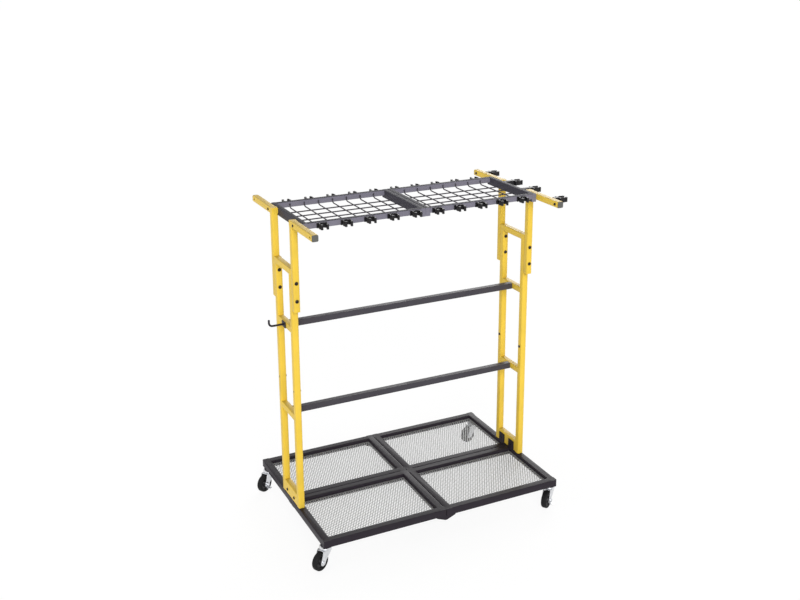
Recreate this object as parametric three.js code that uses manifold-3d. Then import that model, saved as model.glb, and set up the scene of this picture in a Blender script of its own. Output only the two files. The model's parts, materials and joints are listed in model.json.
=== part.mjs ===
// Freestanding garden tool rack on casters, in millimetres, +Z up, standing on Z = 0.
// X runs along the rack and Y from its front to its back.

import * as THREE from "three";
import { mergeVertices } from "three/addons/utils/BufferGeometryUtils.js";
import Module from "manifold-3d";

const wasm = await Module();
wasm.setup();

// Overall plan
const baseLength = 1050;
const baseDepth = 720;
const fitGap = 0.3;
const weldSink = 0.5;
const overrun = 6;

// Tray frames, square steel tube
const trayRail = 30;
const trayWall = 1.5;
const trayEdge = 2.5;
const lugWidth = 40;
const lugHeight = 42;
const lugThickness = 3.5;
const footScrewSpread = 77;
const footScrewRise = 20;
const footScrewRadius = 2.5;

// Expanded metal decks
const deckDrop = 12;
const deckThickness = 2.5;
const deckBorder = 8;
const deckStrand = 8;
const deckColumns = 5;
const deckRows = 3;

// Joining plates under the front and the back of the middle joint, with V-shaped flanges
const jointPlateLength = 84;
const jointPlateTip = 8;
const jointPlateWidth = 28;
const jointPlateThickness = 2;
const jointPlateDrop = 17;

// Casters
const casterHeight = 95;
const casterInsetX = 15;
const casterInsetY = 32;
const casterTrail = 30;
const wheelRadius = 37.5;
const wheelWidth = 24;
const wheelShoulder = 4;
const wheelRimRadius = 29;
const wheelWebWidth = 9;
const hubRadius = 11;
const hubWidth = 29;
const axleRadius = 4;
const axleHeadRadius = 6.5;
const axleHeadHeight = 4;
const runningGap = 0.4;
const forkSheet = 2.5;
const forkCrownLength = 46;
const forkCrownClearance = 2.5;
const forkEndRadius = 14;
const forkFrontShare = 0.42;
const raceRadius = 21;
const raceHeight = 4;
const kingpinRadius = 6;
const kingpinHeadRadius = 9;
const kingpinHeadHeight = 3;
const stemRadius = 5;
const stemLength = 22;
const dishRadius = 23;
const dishRimHeight = 2.5;
const dishCrownShare = 0.6;
const socketFlangeRadius = 18;
const socketFlangeHeight = 4;
const socketSleeveRadius = 8;
const socketSleeveLength = 22;
const leverThickness = 3;
const leverEyeRadius = 10;
const leverDrop = 16;
const leverTread = 15;
const leverWidth = 16;

// End frames, square steel tube
const postTube = 25;
const postWall = 1.5;
const postEdge = 2.5;
const ladderWidth = 188;
const footRungHeight = 52;
const upperRungDrop = 249;
const lowerRungRise = 389;
const spareHoleRise = 504;
const frameHoleRadius = 4;

// Upper posts with their outward arms
const armTopRise = 1197;
const armAboveLadder = 192;
const lapLength = 165;
const armSpan = 650;
const armHoleInset = 18;
const plugLip = 3;
const plugDepth = 14;

// Lap bolts that hold each upper post to its upright
const lapBoltUpperDrop = 50;
const lapBoltLowerDrop = 121;
const lapBoltRadius = 4;
const lapHeadRadius = 7.5;
const lapHeadHeight = 4.5;
const headCrownShare = 0.6;
const nutRadius = 7.5;
const nutHeight = 6;

// Crossbars
const crossbarTube = 20;
const crossbarWall = 1.5;
const crossbarEdge = 2;
const spigotLength = 60;

// Top grid
const gridAboveArm = 1;
const gridDepth = 350;
const gridRail = 20;
const gridRailHeight = 22;
const gridEndHeight = 33;
const gridWall = 1.5;
const gridEdge = 2;
const drainRadius = 3;

// Welded wire grid
const wireDiameter = 5;
const wireBend = 12;
const wireEndRise = 18;
const longWires = 4;
const crossWires = 7;
const crossWireInset = 49.5;

// Handle clips
const clipsPerHalf = 5;
const clipEndInset = 72;
const clipHeight = 20;
const clipBase = 5;
const clipBaseWidth = 40;
const clipBore = 13.5;
const clipWall = 3.5;
const clipTip = 5;
const clipMouthHalfAngle = 37.7;
const clipDrop = 1;
const sideClipRise = 2.5;
const sideClipStand = 20;
const sideClipStandWidth = 22;
const sideClipPostGap = 4.3;
const sideClipArmInset = 65;

// Hose hook
const hookRod = 8;
const hookReach = 62;
const hookTipRise = 26;
const hookBend = 14;
const hookPlateWidth = 40;
const hookPlateHeight = 24;
const hookPlateThickness = 3;

// Places worked out from the sizes above
const baseTop = casterHeight + trayRail;
const endFace = baseLength / 2;
const trayLength = (baseLength - fitGap) / 2;
const trayDepth = (baseDepth - fitGap) / 2;
const ladderX = endFace - postTube / 2;
const uprightY = (ladderWidth - postTube) / 2;
const postY = ladderWidth / 2 + fitGap + postTube / 2;
const gridHalf = endFace - postTube - fitGap - fitGap / 2;
const barInset = endFace - postTube - fitGap;
const gridMiddle = (gridHalf + fitGap) / 2;
const armAxisRise = armTopRise - postTube / 2;
const ladderHeight = armTopRise - armAboveLadder;
const upperRungRise = ladderHeight - upperRungDrop;
const postFootRise = ladderHeight - lapLength;
const lapBoltRises = { upper: ladderHeight - lapBoltUpperDrop, lower: ladderHeight - lapBoltLowerDrop };

// How finely the round forms are divided
const holeSides = 6;
const wireSides = 6;
const pinSides = 10;
const wheelSides = 20;
const arcSteps = 4;
const clipTipSteps = 4;
const clipOuterSteps = 3;
const clipBoreSteps = 8;
const bendSteps = 2;

const yellow = new THREE.MeshStandardMaterial({ color: 0xf2c230, roughness: 0.45, metalness: 0.1 });
const black = new THREE.MeshStandardMaterial({ color: 0x37343a, roughness: 0.55, metalness: 0.15 });
const zinc = new THREE.MeshStandardMaterial({ color: 0xc9ccd0, roughness: 0.35, metalness: 0.85 });
const galvanised = new THREE.MeshStandardMaterial({ color: 0xb4b4b2, roughness: 0.5, metalness: 0.7 });
const rubber = new THREE.MeshStandardMaterial({ color: 0x18181a, roughness: 0.8, metalness: 0 });
const plastic = new THREE.MeshStandardMaterial({ color: 0x1d1d20, roughness: 0.5, metalness: 0 });
const darkBolt = new THREE.MeshStandardMaterial({ color: 0x2a2622, roughness: 0.45, metalness: 0.6 });

// Closed meshes as solids, for cutting and joining
function solid(geometry) {
  const bare = geometry.clone();
  bare.deleteAttribute("normal");
  bare.deleteAttribute("uv");
  const merged = mergeVertices(bare, fitGap / 100);
  const vertProperties = new Float32Array(merged.attributes.position.array);
  const triVerts = new Uint32Array(merged.index.array);
  return new wasm.Manifold(new wasm.Mesh({ numProp: 3, vertProperties, triVerts }));
}

function surface(body) {
  const { vertProperties, triVerts } = body.getMesh();
  const geometry = new THREE.BufferGeometry();
  geometry.setAttribute("position", new THREE.BufferAttribute(vertProperties, 3));
  geometry.setIndex(new THREE.BufferAttribute(triVerts, 1));
  geometry.computeVertexNormals();
  return geometry;
}

function fuse(first, ...others) {
  return surface(others.reduce((body, next) => body.add(solid(next)), solid(first)));
}

function carve(first, ...tools) {
  return surface(tools.reduce((body, tool) => body.subtract(solid(tool)), solid(first)));
}

function within(first, limit) {
  return surface(solid(first).intersect(solid(limit)));
}

function at(geometry, x, y, z) {
  return geometry.clone().translate(x, y, z);
}

// Basic forms, centred on the origin
const unitX = new THREE.Vector3(1, 0, 0);
const unitY = new THREE.Vector3(0, 1, 0);
const unitZ = new THREE.Vector3(0, 0, 1);
const toLeft = unitX.clone().negate();
const toFront = unitY.clone().negate();
const toFloor = unitZ.clone().negate();
const turned = {
  x: new THREE.Matrix4().makeBasis(unitY, unitZ, unitX),
  y: new THREE.Matrix4().makeBasis(unitZ, unitX, unitY),
  z: new THREE.Matrix4(),
};

function outline(points) {
  return new THREE.Shape(points.map(([x, y]) => new THREE.Vector2(x, y)));
}

function extruded(shape, axis, length) {
  const settings = { depth: length, bevelEnabled: false, curveSegments: arcSteps };
  return new THREE.ExtrudeGeometry(shape, settings).translate(0, 0, -length / 2).applyMatrix4(turned[axis]);
}

function softRectangle(width, height, edge) {
  const x = width / 2;
  const y = height / 2;
  return outline([
    [x - edge, -y],
    [x, edge - y],
    [x, y - edge],
    [x - edge, y],
    [edge - x, y],
    [-x, y - edge],
    [-x, edge - y],
    [edge - x, -y],
  ]);
}

function bar(axis, sizeX, sizeY, sizeZ, edge) {
  const across = { x: [sizeY, sizeZ], y: [sizeZ, sizeX], z: [sizeX, sizeY] }[axis];
  const along = { x: sizeX, y: sizeY, z: sizeZ }[axis];
  return extruded(softRectangle(across[0], across[1], edge), axis, along);
}

function block(sizeX, sizeY, sizeZ) {
  return new THREE.BoxGeometry(sizeX, sizeY, sizeZ);
}

function rod(axis, radius, length, sides) {
  const geometry = new THREE.CylinderGeometry(radius, radius, length, sides);
  return geometry.rotateX(Math.PI / 2).applyMatrix4(turned[axis]);
}

// A hole whose flats all clear a round shank of the given radius
function hole(axis, radius, length, sides = holeSides) {
  return rod(axis, (radius + fitGap) / Math.cos(Math.PI / sides), length, sides);
}

function revolved(axis, points, sides) {
  const profile = points.map(([radius, height]) => new THREE.Vector2(radius, height));
  return new THREE.LatheGeometry(profile, sides).rotateX(Math.PI / 2).applyMatrix4(turned[axis]);
}

// A rectangular ring of tube with its corners dressed, and the hollow inside its walls
function ring(sizeX, sizeY, sizeZ, width, edge) {
  const sideX = (sizeX - width) / 2;
  const sideY = (sizeY - width) / 2;
  const bars = fuse(
    at(bar("x", sizeX, width, sizeZ, edge), 0, sideY, 0),
    at(bar("x", sizeX, width, sizeZ, edge), 0, -sideY, 0),
    at(bar("y", width, sizeY, sizeZ, edge), sideX, 0, 0),
    at(bar("y", width, sizeY, sizeZ, edge), -sideX, 0, 0),
  );
  return within(bars, extruded(softRectangle(sizeX, sizeY, edge), "z", sizeZ));
}

function ringHollow(sizeX, sizeY, sizeZ, width, wall) {
  const bore = width - 2 * wall;
  const outer = block(sizeX - 2 * wall, sizeY - 2 * wall, sizeZ - 2 * wall);
  const inner = block(sizeX - 2 * wall - 2 * bore, sizeY - 2 * wall - 2 * bore, sizeZ);
  return carve(outer, inner);
}

// A round bar swept along chosen points, with one ring of facets at each
class Route extends THREE.Curve {
  constructor(points) {
    super();
    this.points = points;
  }

  getPointAt(share, target = new THREE.Vector3()) {
    return target.copy(this.points[Math.round(share * (this.points.length - 1))]);
  }

  getTangentAt(share, target = new THREE.Vector3()) {
    const index = Math.round(share * (this.points.length - 1));
    const here = this.points[index];
    const before = this.points[Math.max(index - 1, 0)];
    const after = this.points[Math.min(index + 1, this.points.length - 1)];
    const arriving = index > 0 ? here.clone().sub(before).normalize() : new THREE.Vector3();
    const leaving = after.equals(here) ? new THREE.Vector3() : after.clone().sub(here).normalize();
    return target.copy(arriving).add(leaving).normalize();
  }
}

function swept(points, radius) {
  const section = new THREE.Shape();
  for (let side = 0; side < wireSides; side += 1) {
    const angle = (2 * Math.PI * (side + 1 / 2)) / wireSides;
    const method = side === 0 ? "moveTo" : "lineTo";
    section[method](radius * Math.cos(angle), radius * Math.sin(angle));
  }
  section.closePath();
  const settings = { steps: points.length - 1, bevelEnabled: false, extrudePath: new Route(points) };
  return new THREE.ExtrudeGeometry(section, settings);
}

// A quarter bend about a centre, from its far side in one direction to its side in another
function bendPoints(centre, from, to, radius) {
  return Array.from({ length: bendSteps + 1 }, (_, step) => {
    const angle = ((Math.PI / 2) * step) / bendSteps;
    const start = from.clone().multiplyScalar(-radius * Math.cos(angle));
    return centre.clone().add(start).add(to.clone().multiplyScalar(radius * Math.sin(angle)));
  });
}

const rack = new THREE.Group();

function piece(name, geometry, material, parent = rack) {
  const mesh = new THREE.Mesh(geometry, material);
  mesh.name = name;
  parent.add(mesh);
  return mesh;
}

function nest(parent, x, y, z, turn = 0) {
  const group = new THREE.Group();
  group.position.set(x, y, z);
  group.rotation.z = turn;
  parent.add(group);
  return group;
}

const sides = [
  { name: "left", sign: -1 },
  { name: "right", sign: 1 },
];
const fronts = [
  { name: "front", sign: -1 },
  { name: "back", sign: 1 },
];

// Base: four trays, each with one corner over a caster
const corners = [
  { name: "front_left", signX: -1, signY: -1, turn: 208, brake: false },
  { name: "front_right", signX: 1, signY: -1, turn: 216, brake: true },
  { name: "back_left", signX: -1, signY: 1, turn: 211, brake: true },
  { name: "back_right", signX: 1, signY: 1, turn: 196, brake: false },
];

function footLug(corner) {
  const x = corner.signX * (trayLength / 2 - postTube - fitGap - lugThickness / 2);
  const y = (-corner.signY * (baseDepth - trayDepth - footScrewSpread)) / 2;
  const tall = lugHeight + trayWall;
  const plate = at(block(lugThickness, lugWidth, tall), x, y, trayRail / 2 - trayWall + tall / 2);
  const eye = hole("x", footScrewRadius, lugThickness + 2 * overrun);
  return carve(plate, at(eye, x, y, trayRail / 2 + footScrewRise));
}

function casterSocket() {
  const flange = rod("z", socketFlangeRadius, socketFlangeHeight + weldSink, pinSides);
  const sleeve = rod("z", socketSleeveRadius, socketSleeveLength, pinSides);
  const flangeZ = -trayRail / 2 - (socketFlangeHeight - weldSink) / 2;
  return fuse(at(flange, 0, 0, flangeZ), at(sleeve, 0, 0, -trayRail / 2 + socketSleeveLength / 2));
}

function trayFrame(corner) {
  const socketX = corner.signX * (trayLength / 2 - casterInsetX);
  const socketY = corner.signY * (trayDepth / 2 - casterInsetY);
  const tube = carve(
    ring(trayLength, trayDepth, trayRail, trayRail, trayEdge),
    ringHollow(trayLength, trayDepth, trayRail, trayRail, trayWall),
  );
  const dressed = fuse(tube, at(casterSocket(), socketX, socketY, 0), footLug(corner));
  const deep = socketFlangeHeight + socketSleeveLength + overrun;
  const boreZ = -trayRail / 2 + socketSleeveLength - deep / 2;
  return carve(dressed, at(hole("z", stemRadius, deep, pinSides), socketX, socketY, boreZ + weldSink));
}

// Expanded metal: staggered rows of diamonds, long way across the tray
function expandedDeck() {
  const length = trayLength - 2 * trayRail - 2 * fitGap;
  const depth = trayDepth - 2 * trayRail - 2 * fitGap;
  const shape = outline([
    [-length / 2, -depth / 2],
    [length / 2, -depth / 2],
    [length / 2, depth / 2],
    [-length / 2, depth / 2],
  ]);
  const pitchX = (length - 2 * deckBorder) / deckColumns;
  const pitchY = (depth - 2 * deckBorder) / deckRows;
  const reachX = (pitchX - deckStrand) / 2;
  const reachY = (pitchY - deckStrand) / 2;
  for (let row = 0; row < 2 * deckRows - 1; row += 1) {
    const shift = row % 2;
    for (let column = 0; column < deckColumns - shift; column += 1) {
      const x = -length / 2 + deckBorder + pitchX * (column + (1 + shift) / 2);
      const y = -depth / 2 + deckBorder + (pitchY * (row + 1)) / 2;
      const diamond = outline([
        [x - reachX, y],
        [x, y + reachY],
        [x + reachX, y],
        [x, y - reachY],
      ]);
      shape.holes.push(diamond);
    }
  }
  return extruded(shape, "z", deckThickness);
}

// A folded plate: a flat top with a V-shaped flange along each side
function jointPlate() {
  const half = jointPlateLength / 2;
  const tip = jointPlateTip / 2;
  const shape = outline([
    [-half, 0],
    [-half, -jointPlateThickness],
    [-tip, -jointPlateDrop],
    [tip, -jointPlateDrop],
    [half, -jointPlateThickness],
    [half, 0],
  ]);
  const wedge = extruded(shape, "z", jointPlateWidth).rotateX(Math.PI / 2);
  const inside = jointPlateWidth - 2 * jointPlateThickness;
  const hollow = block(jointPlateLength + 2 * overrun, inside, jointPlateDrop);
  return carve(wedge, at(hollow, 0, 0, -jointPlateThickness - jointPlateDrop / 2));
}

for (const corner of corners) {
  const x = corner.signX * (endFace - trayLength / 2);
  const y = corner.signY * (baseDepth / 2 - trayDepth / 2);
  const tray = nest(rack, x, y, casterHeight + trayRail / 2);
  piece(`tray_frame_${corner.name}`, trayFrame(corner), black, tray);
  const deck = piece(`tray_deck_${corner.name}`, expandedDeck(), galvanised, tray);
  deck.position.z = trayRail / 2 - deckDrop - deckThickness / 2;
}

for (const front of fronts) {
  const plate = piece(`joint_plate_${front.name}`, jointPlate(), black);
  plate.position.set(0, front.sign * (baseDepth / 2 - trayRail / 2), casterHeight - fitGap);
}

// Casters, each built about its swivel axis with the wheel trailing towards +X
const crownUnder = 2 * wheelRadius + forkCrownClearance;
const crownTop = crownUnder + forkSheet;
const forkInside = hubWidth / 2 + runningGap;
const forkOutside = forkInside + forkSheet;
const dishBottom = crownTop + raceHeight + runningGap;
const dishTop = casterHeight - socketFlangeHeight - fitGap;
const leverSpace = leverThickness + fitGap;
const axleRise = wheelRadius * Math.cos(Math.PI / wheelSides);

function casterStem() {
  const headTop = crownUnder - runningGap;
  return revolved(
    "z",
    [
      [0, headTop - kingpinHeadHeight],
      [kingpinHeadRadius, headTop - kingpinHeadHeight],
      [kingpinHeadRadius, headTop],
      [kingpinRadius, headTop],
      [kingpinRadius, dishBottom],
      [dishRadius, dishBottom],
      [dishRadius, dishBottom + dishRimHeight],
      [dishRadius * dishCrownShare, dishTop],
      [stemRadius, dishTop],
      [stemRadius, dishTop + stemLength],
      [0, dishTop + stemLength],
    ],
    pinSides,
  );
}

function forkLeg() {
  const front = -forkCrownLength * forkFrontShare;
  const back = forkCrownLength + front;
  const shape = new THREE.Shape();
  shape.moveTo(back, crownTop);
  shape.lineTo(front, crownTop);
  shape.lineTo(front, crownUnder - forkSheet);
  shape.absarc(casterTrail, axleRise, forkEndRadius, Math.PI, 2 * Math.PI, false);
  shape.lineTo(back, crownUnder - forkSheet);
  shape.closePath();
  return extruded(shape, "z", forkSheet).rotateX(Math.PI / 2);
}

function fork() {
  const legY = forkInside + forkSheet / 2;
  const crownX = forkCrownLength / 2 - forkCrownLength * forkFrontShare;
  const crown = at(block(forkCrownLength, 2 * forkOutside, forkSheet), crownX, 0, crownTop - forkSheet / 2);
  const race = rod("z", raceRadius, raceHeight + forkSheet, pinSides + 4);
  const shell = fuse(
    crown,
    at(race, 0, 0, crownUnder + (raceHeight + forkSheet) / 2),
    at(forkLeg(), 0, legY, 0),
    at(forkLeg(), 0, -legY, 0),
  );
  const neckHole = hole("z", kingpinRadius, 2 * (raceHeight + forkSheet) + 2 * overrun, pinSides);
  const axleHole = hole("y", axleRadius, 2 * forkOutside + 2 * overrun, pinSides);
  return carve(shell, at(neckHole, 0, 0, crownTop), at(axleHole, casterTrail, 0, axleRise));
}

function wheel() {
  const half = wheelWidth / 2;
  const web = wheelWebWidth / 2;
  const hub = hubWidth / 2;
  const bore = (axleRadius + fitGap) / Math.cos(Math.PI / wheelSides);
  const upper = [
    [wheelRadius, half - wheelShoulder],
    [wheelRadius - wheelShoulder, half],
    [wheelRimRadius, half],
    [hubRadius + wheelShoulder, web],
    [hubRadius, hub],
    [bore, hub],
  ];
  const lower = upper.map(([radius, side]) => [radius, -side]).reverse();
  return revolved("y", [...lower, ...upper, lower[0]], wheelSides).rotateY(Math.PI / wheelSides);
}

function casterAxle(brake) {
  const near = forkOutside + fitGap;
  const far = near + (brake ? leverSpace : 0);
  return revolved(
    "y",
    [
      [0, -near - axleHeadHeight],
      [axleHeadRadius, -near - axleHeadHeight],
      [axleHeadRadius, -near],
      [axleRadius, -near],
      [axleRadius, far],
      [axleHeadRadius, far],
      [axleHeadRadius, far + axleHeadHeight],
      [0, far + axleHeadHeight],
    ],
    pinSides,
  );
}

// Brake lever: a cam plate on the axle, with a tread turned outwards at its foot
function brakeLever() {
  const shape = new THREE.Shape();
  shape.moveTo(-leverWidth / 2, -leverDrop);
  shape.lineTo(leverWidth / 2, -leverDrop);
  shape.lineTo(leverWidth / 2, 0);
  shape.absarc(0, 0, leverEyeRadius, 0, Math.PI, false);
  shape.lineTo(-leverWidth / 2, 0);
  shape.closePath();
  const plate = extruded(shape, "z", leverThickness).rotateX(Math.PI / 2);
  const tread = block(leverWidth, leverTread + leverThickness, leverThickness);
  const body = fuse(plate, at(tread, 0, leverTread / 2, leverThickness / 2 - leverDrop));
  return carve(body, hole("y", axleRadius, leverThickness + 2 * overrun, pinSides));
}

for (const corner of corners) {
  const x = corner.signX * (endFace - casterInsetX);
  const y = corner.signY * (baseDepth / 2 - casterInsetY);
  const fixed = nest(rack, x, y, 0);
  piece(`caster_stem_${corner.name}`, casterStem(), zinc, fixed);
  const swivel = nest(fixed, 0, 0, 0, THREE.MathUtils.degToRad(corner.turn));
  piece(`caster_fork_${corner.name}`, fork(), zinc, swivel);
  const hub = nest(swivel, casterTrail, 0, axleRise);
  piece(`caster_wheel_${corner.name}`, wheel(), rubber, hub);
  piece(`caster_axle_${corner.name}`, casterAxle(corner.brake), zinc, hub);
  if (corner.brake) {
    const lever = piece(`brake_lever_${corner.name}`, brakeLever(), zinc, hub);
    lever.position.y = forkOutside + fitGap + leverThickness / 2;
  }
}

// End frames: a ladder of two uprights and four rungs, whose bores open into one another
const rungs = [
  { rise: footRungHeight / 2, height: footRungHeight },
  { rise: lowerRungRise, height: postTube },
  { rise: upperRungRise, height: postTube },
  { rise: ladderHeight - postTube / 2, height: postTube },
];

function endFrame() {
  const bore = postTube - 2 * postWall;
  const outside = [];
  const inside = [];
  for (const front of fronts) {
    const y = front.sign * uprightY;
    outside.push(at(bar("z", postTube, postTube, ladderHeight, postEdge), 0, y, ladderHeight / 2));
    const deep = ladderHeight - postWall + overrun;
    inside.push(at(block(bore, bore, deep), 0, y, ladderHeight - postWall - deep / 2));
    inside.push(at(hole("x", frameHoleRadius, postTube + 2 * overrun), 0, y, spareHoleRise));
  }
  for (const rung of rungs) {
    const span = 2 * uprightY;
    outside.push(at(bar("y", postTube, span, rung.height, postEdge), 0, 0, rung.rise));
    inside.push(at(block(bore, span, rung.height - 2 * postWall), 0, 0, rung.rise));
  }
  for (const rise of Object.values(lapBoltRises)) {
    inside.push(at(hole("y", lapBoltRadius, ladderWidth + 2 * overrun), 0, 0, rise));
  }
  for (const front of fronts) {
    const screwHole = hole("x", footScrewRadius, postTube + 2 * overrun);
    inside.push(at(screwHole, 0, (front.sign * footScrewSpread) / 2, footScrewRise));
  }
  return carve(fuse(...outside), ...inside);
}

// An upper post and its outward arm, built for the back and turned round for the front
function postArm() {
  const bore = postTube - 2 * postWall;
  const postHeight = armTopRise - postFootRise;
  const armLength = armSpan / 2 - postY + postTube / 2;
  const armY = armLength / 2 - postTube / 2;
  const outside = fuse(
    at(bar("z", postTube, postTube, postHeight, postEdge), 0, 0, postFootRise + postHeight / 2),
    at(bar("y", postTube, armLength, postTube, postEdge), 0, armY, armAxisRise),
  );
  const postBore = postHeight - postWall + overrun;
  const armBore = armLength - postWall + overrun;
  const tipY = armLength - postTube / 2;
  const cuts = [
    at(block(bore, bore, postBore), 0, 0, armTopRise - postWall - postBore / 2),
    at(block(bore, armBore, bore), 0, postWall - postTube / 2 + armBore / 2, armAxisRise),
    at(hole("x", frameHoleRadius, postTube + 2 * overrun), 0, tipY - armHoleInset, armAxisRise),
  ];
  for (const rise of Object.values(lapBoltRises)) {
    cuts.push(at(hole("y", lapBoltRadius, postTube + 2 * overrun), 0, 0, rise));
  }
  return carve(outside, ...cuts);
}

function tubePlug() {
  const bore = postTube - 2 * postWall - 2 * fitGap;
  const lip = at(bar("y", postTube, plugLip, postTube, postEdge), 0, plugLip / 2 + fitGap, 0);
  const insert = at(block(bore, plugDepth + weldSink, bore), 0, (weldSink - plugDepth) / 2 + fitGap, 0);
  return fuse(lip, insert);
}

function lapBolt() {
  const grip = 2 * postTube + fitGap;
  return at(
    revolved(
      "y",
      [
        [0, -fitGap - lapHeadHeight],
        [lapHeadRadius * headCrownShare, -fitGap - lapHeadHeight],
        [lapHeadRadius, -fitGap - lapHeadHeight / 2],
        [lapHeadRadius, -fitGap],
        [lapBoltRadius, -fitGap],
        [lapBoltRadius, grip + fitGap],
        [nutRadius, grip + fitGap],
        [nutRadius, grip + fitGap + nutHeight],
        [0, grip + fitGap + nutHeight],
      ],
      holeSides,
    ),
    0,
    -grip / 2,
    0,
  );
}

for (const side of sides) {
  const end = nest(rack, side.sign * ladderX, 0, baseTop + fitGap);
  piece(`end_frame_${side.name}`, endFrame(), yellow, end);
  for (const front of fronts) {
    const turn = front.sign > 0 ? 0 : Math.PI;
    const upper = nest(end, 0, front.sign * postY, 0, turn);
    piece(`post_arm_${front.name}_${side.name}`, postArm(), yellow, upper);
    const plug = piece(`arm_plug_${front.name}_${side.name}`, tubePlug(), plastic, upper);
    plug.position.set(0, armSpan / 2 - postY, armAxisRise);
    const lap = front.sign * (postY - (postTube + fitGap) / 2);
    for (const [level, rise] of Object.entries(lapBoltRises)) {
      const bolt = piece(`lap_bolt_${level}_${front.name}_${side.name}`, lapBolt(), darkBolt, end);
      bolt.position.set(0, lap, rise);
    }
  }
}

// Crossbars: the left half ends in a spigot that slides into the right half
function crossbarLeft() {
  const length = barInset - fitGap / 2;
  const bore = crossbarTube - 2 * crossbarWall;
  const spigot = bore - 2 * fitGap;
  const tube = at(bar("x", length, crossbarTube, crossbarTube, crossbarEdge), -length / 2, 0, 0);
  const hollow = length - spigotLength;
  const core = at(block(hollow + overrun, bore, bore), -length + (hollow - overrun) / 2, 0, 0);
  const peg = at(block(spigotLength + weldSink, spigot, spigot), (spigotLength - weldSink) / 2, 0, 0);
  return fuse(carve(tube, core), peg);
}

function crossbarRight() {
  const length = barInset - fitGap / 2;
  const bore = crossbarTube - 2 * crossbarWall;
  const tube = at(bar("x", length, crossbarTube, crossbarTube, crossbarEdge), length / 2, 0, 0);
  return carve(tube, at(block(length + 2 * overrun, bore, bore), length / 2, 0, 0));
}

for (const [level, rise] of [["upper", upperRungRise], ["lower", lowerRungRise]]) {
  const line = nest(rack, 0, 0, baseTop + fitGap + rise);
  piece(`crossbar_${level}_left`, crossbarLeft(), black, line).position.x = -fitGap / 2;
  piece(`crossbar_${level}_right`, crossbarRight(), black, line).position.x = fitGap / 2;
}

// Points of an arc about a centre, both ends included
function arcPoints([x, y], radius, from, to, steps) {
  return Array.from({ length: steps + 1 }, (_, step) => {
    const angle = from + ((to - from) * step) / steps;
    return [x + radius * Math.cos(angle), y + radius * Math.sin(angle)];
  });
}

// A handle clip that opens towards +X, with its back plate on X = 0. Each jaw ends in a round tip
// that touches the bore's circle from outside.
function handleClip() {
  const outer = clipBore + clipWall;
  const centre = [clipBase + clipBore, 0];
  const root = Math.PI - Math.acos(clipBore / outer);
  const mouth = THREE.MathUtils.degToRad(clipMouthHalfAngle);
  const far = clipBore + clipTip;
  const tip = [centre[0] + far * Math.cos(mouth), far * Math.sin(mouth)];
  const overlap = Math.acos((far ** 2 + outer ** 2 - clipTip ** 2) / (2 * far * outer));
  const shoulder = mouth + overlap;
  const lastX = centre[0] + outer * Math.cos(shoulder) - tip[0];
  const lastY = outer * Math.sin(shoulder) - tip[1];
  const half = [
    ...arcPoints(tip, clipTip, mouth - Math.PI, Math.atan2(lastY, lastX), clipTipSteps).slice(1, -1),
    ...arcPoints(centre, outer, shoulder, root, clipOuterSteps),
    [clipBase, clipBaseWidth / 2],
    [0, clipBaseWidth / 2],
  ];
  const mirrored = half.map(([x, y]) => [x, -y]).reverse();
  const bore = arcPoints(centre, clipBore, -mouth, mouth - 2 * Math.PI, clipBoreSteps);
  return extruded(outline([...half, ...mirrored, ...bore]), "z", clipHeight);
}

// A handle clip held out from X = 0 by a stand-off of the given length
function sideClip(stand) {
  const post = block(stand + weldSink, sideClipStandWidth, clipHeight);
  return fuse(at(handleClip(), stand, 0, 0), at(post, (stand + weldSink) / 2, 0, 0));
}

// Top grid: two ring frames side by side, each with a shallow welded wire tray
const gridRailZ = -gridRailHeight / 2;
const gridEndZ = -gridEndHeight / 2;

function gridFrame(sign) {
  const railY = (gridDepth - gridRail) / 2;
  const endX = (gridHalf - gridRail) / 2;
  const clipPitch = (gridHalf - clipEndInset) / (clipsPerHalf - 1 / 2);
  const bore = gridRail - 2 * gridWall;
  const rails = [];
  const clips = [];
  const inside = [];
  for (const front of fronts) {
    const y = front.sign * railY;
    rails.push(at(bar("x", gridHalf, gridRail, gridRailHeight, gridEdge), 0, y, gridRailZ));
    inside.push(at(block(gridHalf - 2 * gridWall, bore, gridRailHeight - 2 * gridWall), 0, y, gridRailZ));
    for (let index = 0; index < clipsPerHalf; index += 1) {
      const x = sign * ((index + 1 / 2) * clipPitch - gridMiddle);
      const clip = handleClip().rotateZ((front.sign * Math.PI) / 2);
      const seat = front.sign * (gridDepth / 2 - weldSink);
      clips.push(at(clip, x, seat, gridRailZ - clipDrop));
    }
  }
  for (const end of sides) {
    const x = end.sign * endX;
    rails.push(at(bar("y", gridRail, gridDepth, gridEndHeight, gridEdge), x, 0, gridEndZ));
    inside.push(at(block(bore, gridDepth - 2 * gridWall, gridEndHeight - 2 * gridWall), x, 0, gridEndZ));
    inside.push(at(hole("z", drainRadius, 2 * overrun), x, 0, -gridEndHeight));
  }
  const limit = extruded(softRectangle(gridHalf, gridDepth, gridEdge), "z", 2 * gridEndHeight);
  return carve(fuse(within(fuse(...rails), limit), ...clips), ...inside);
}

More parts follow.
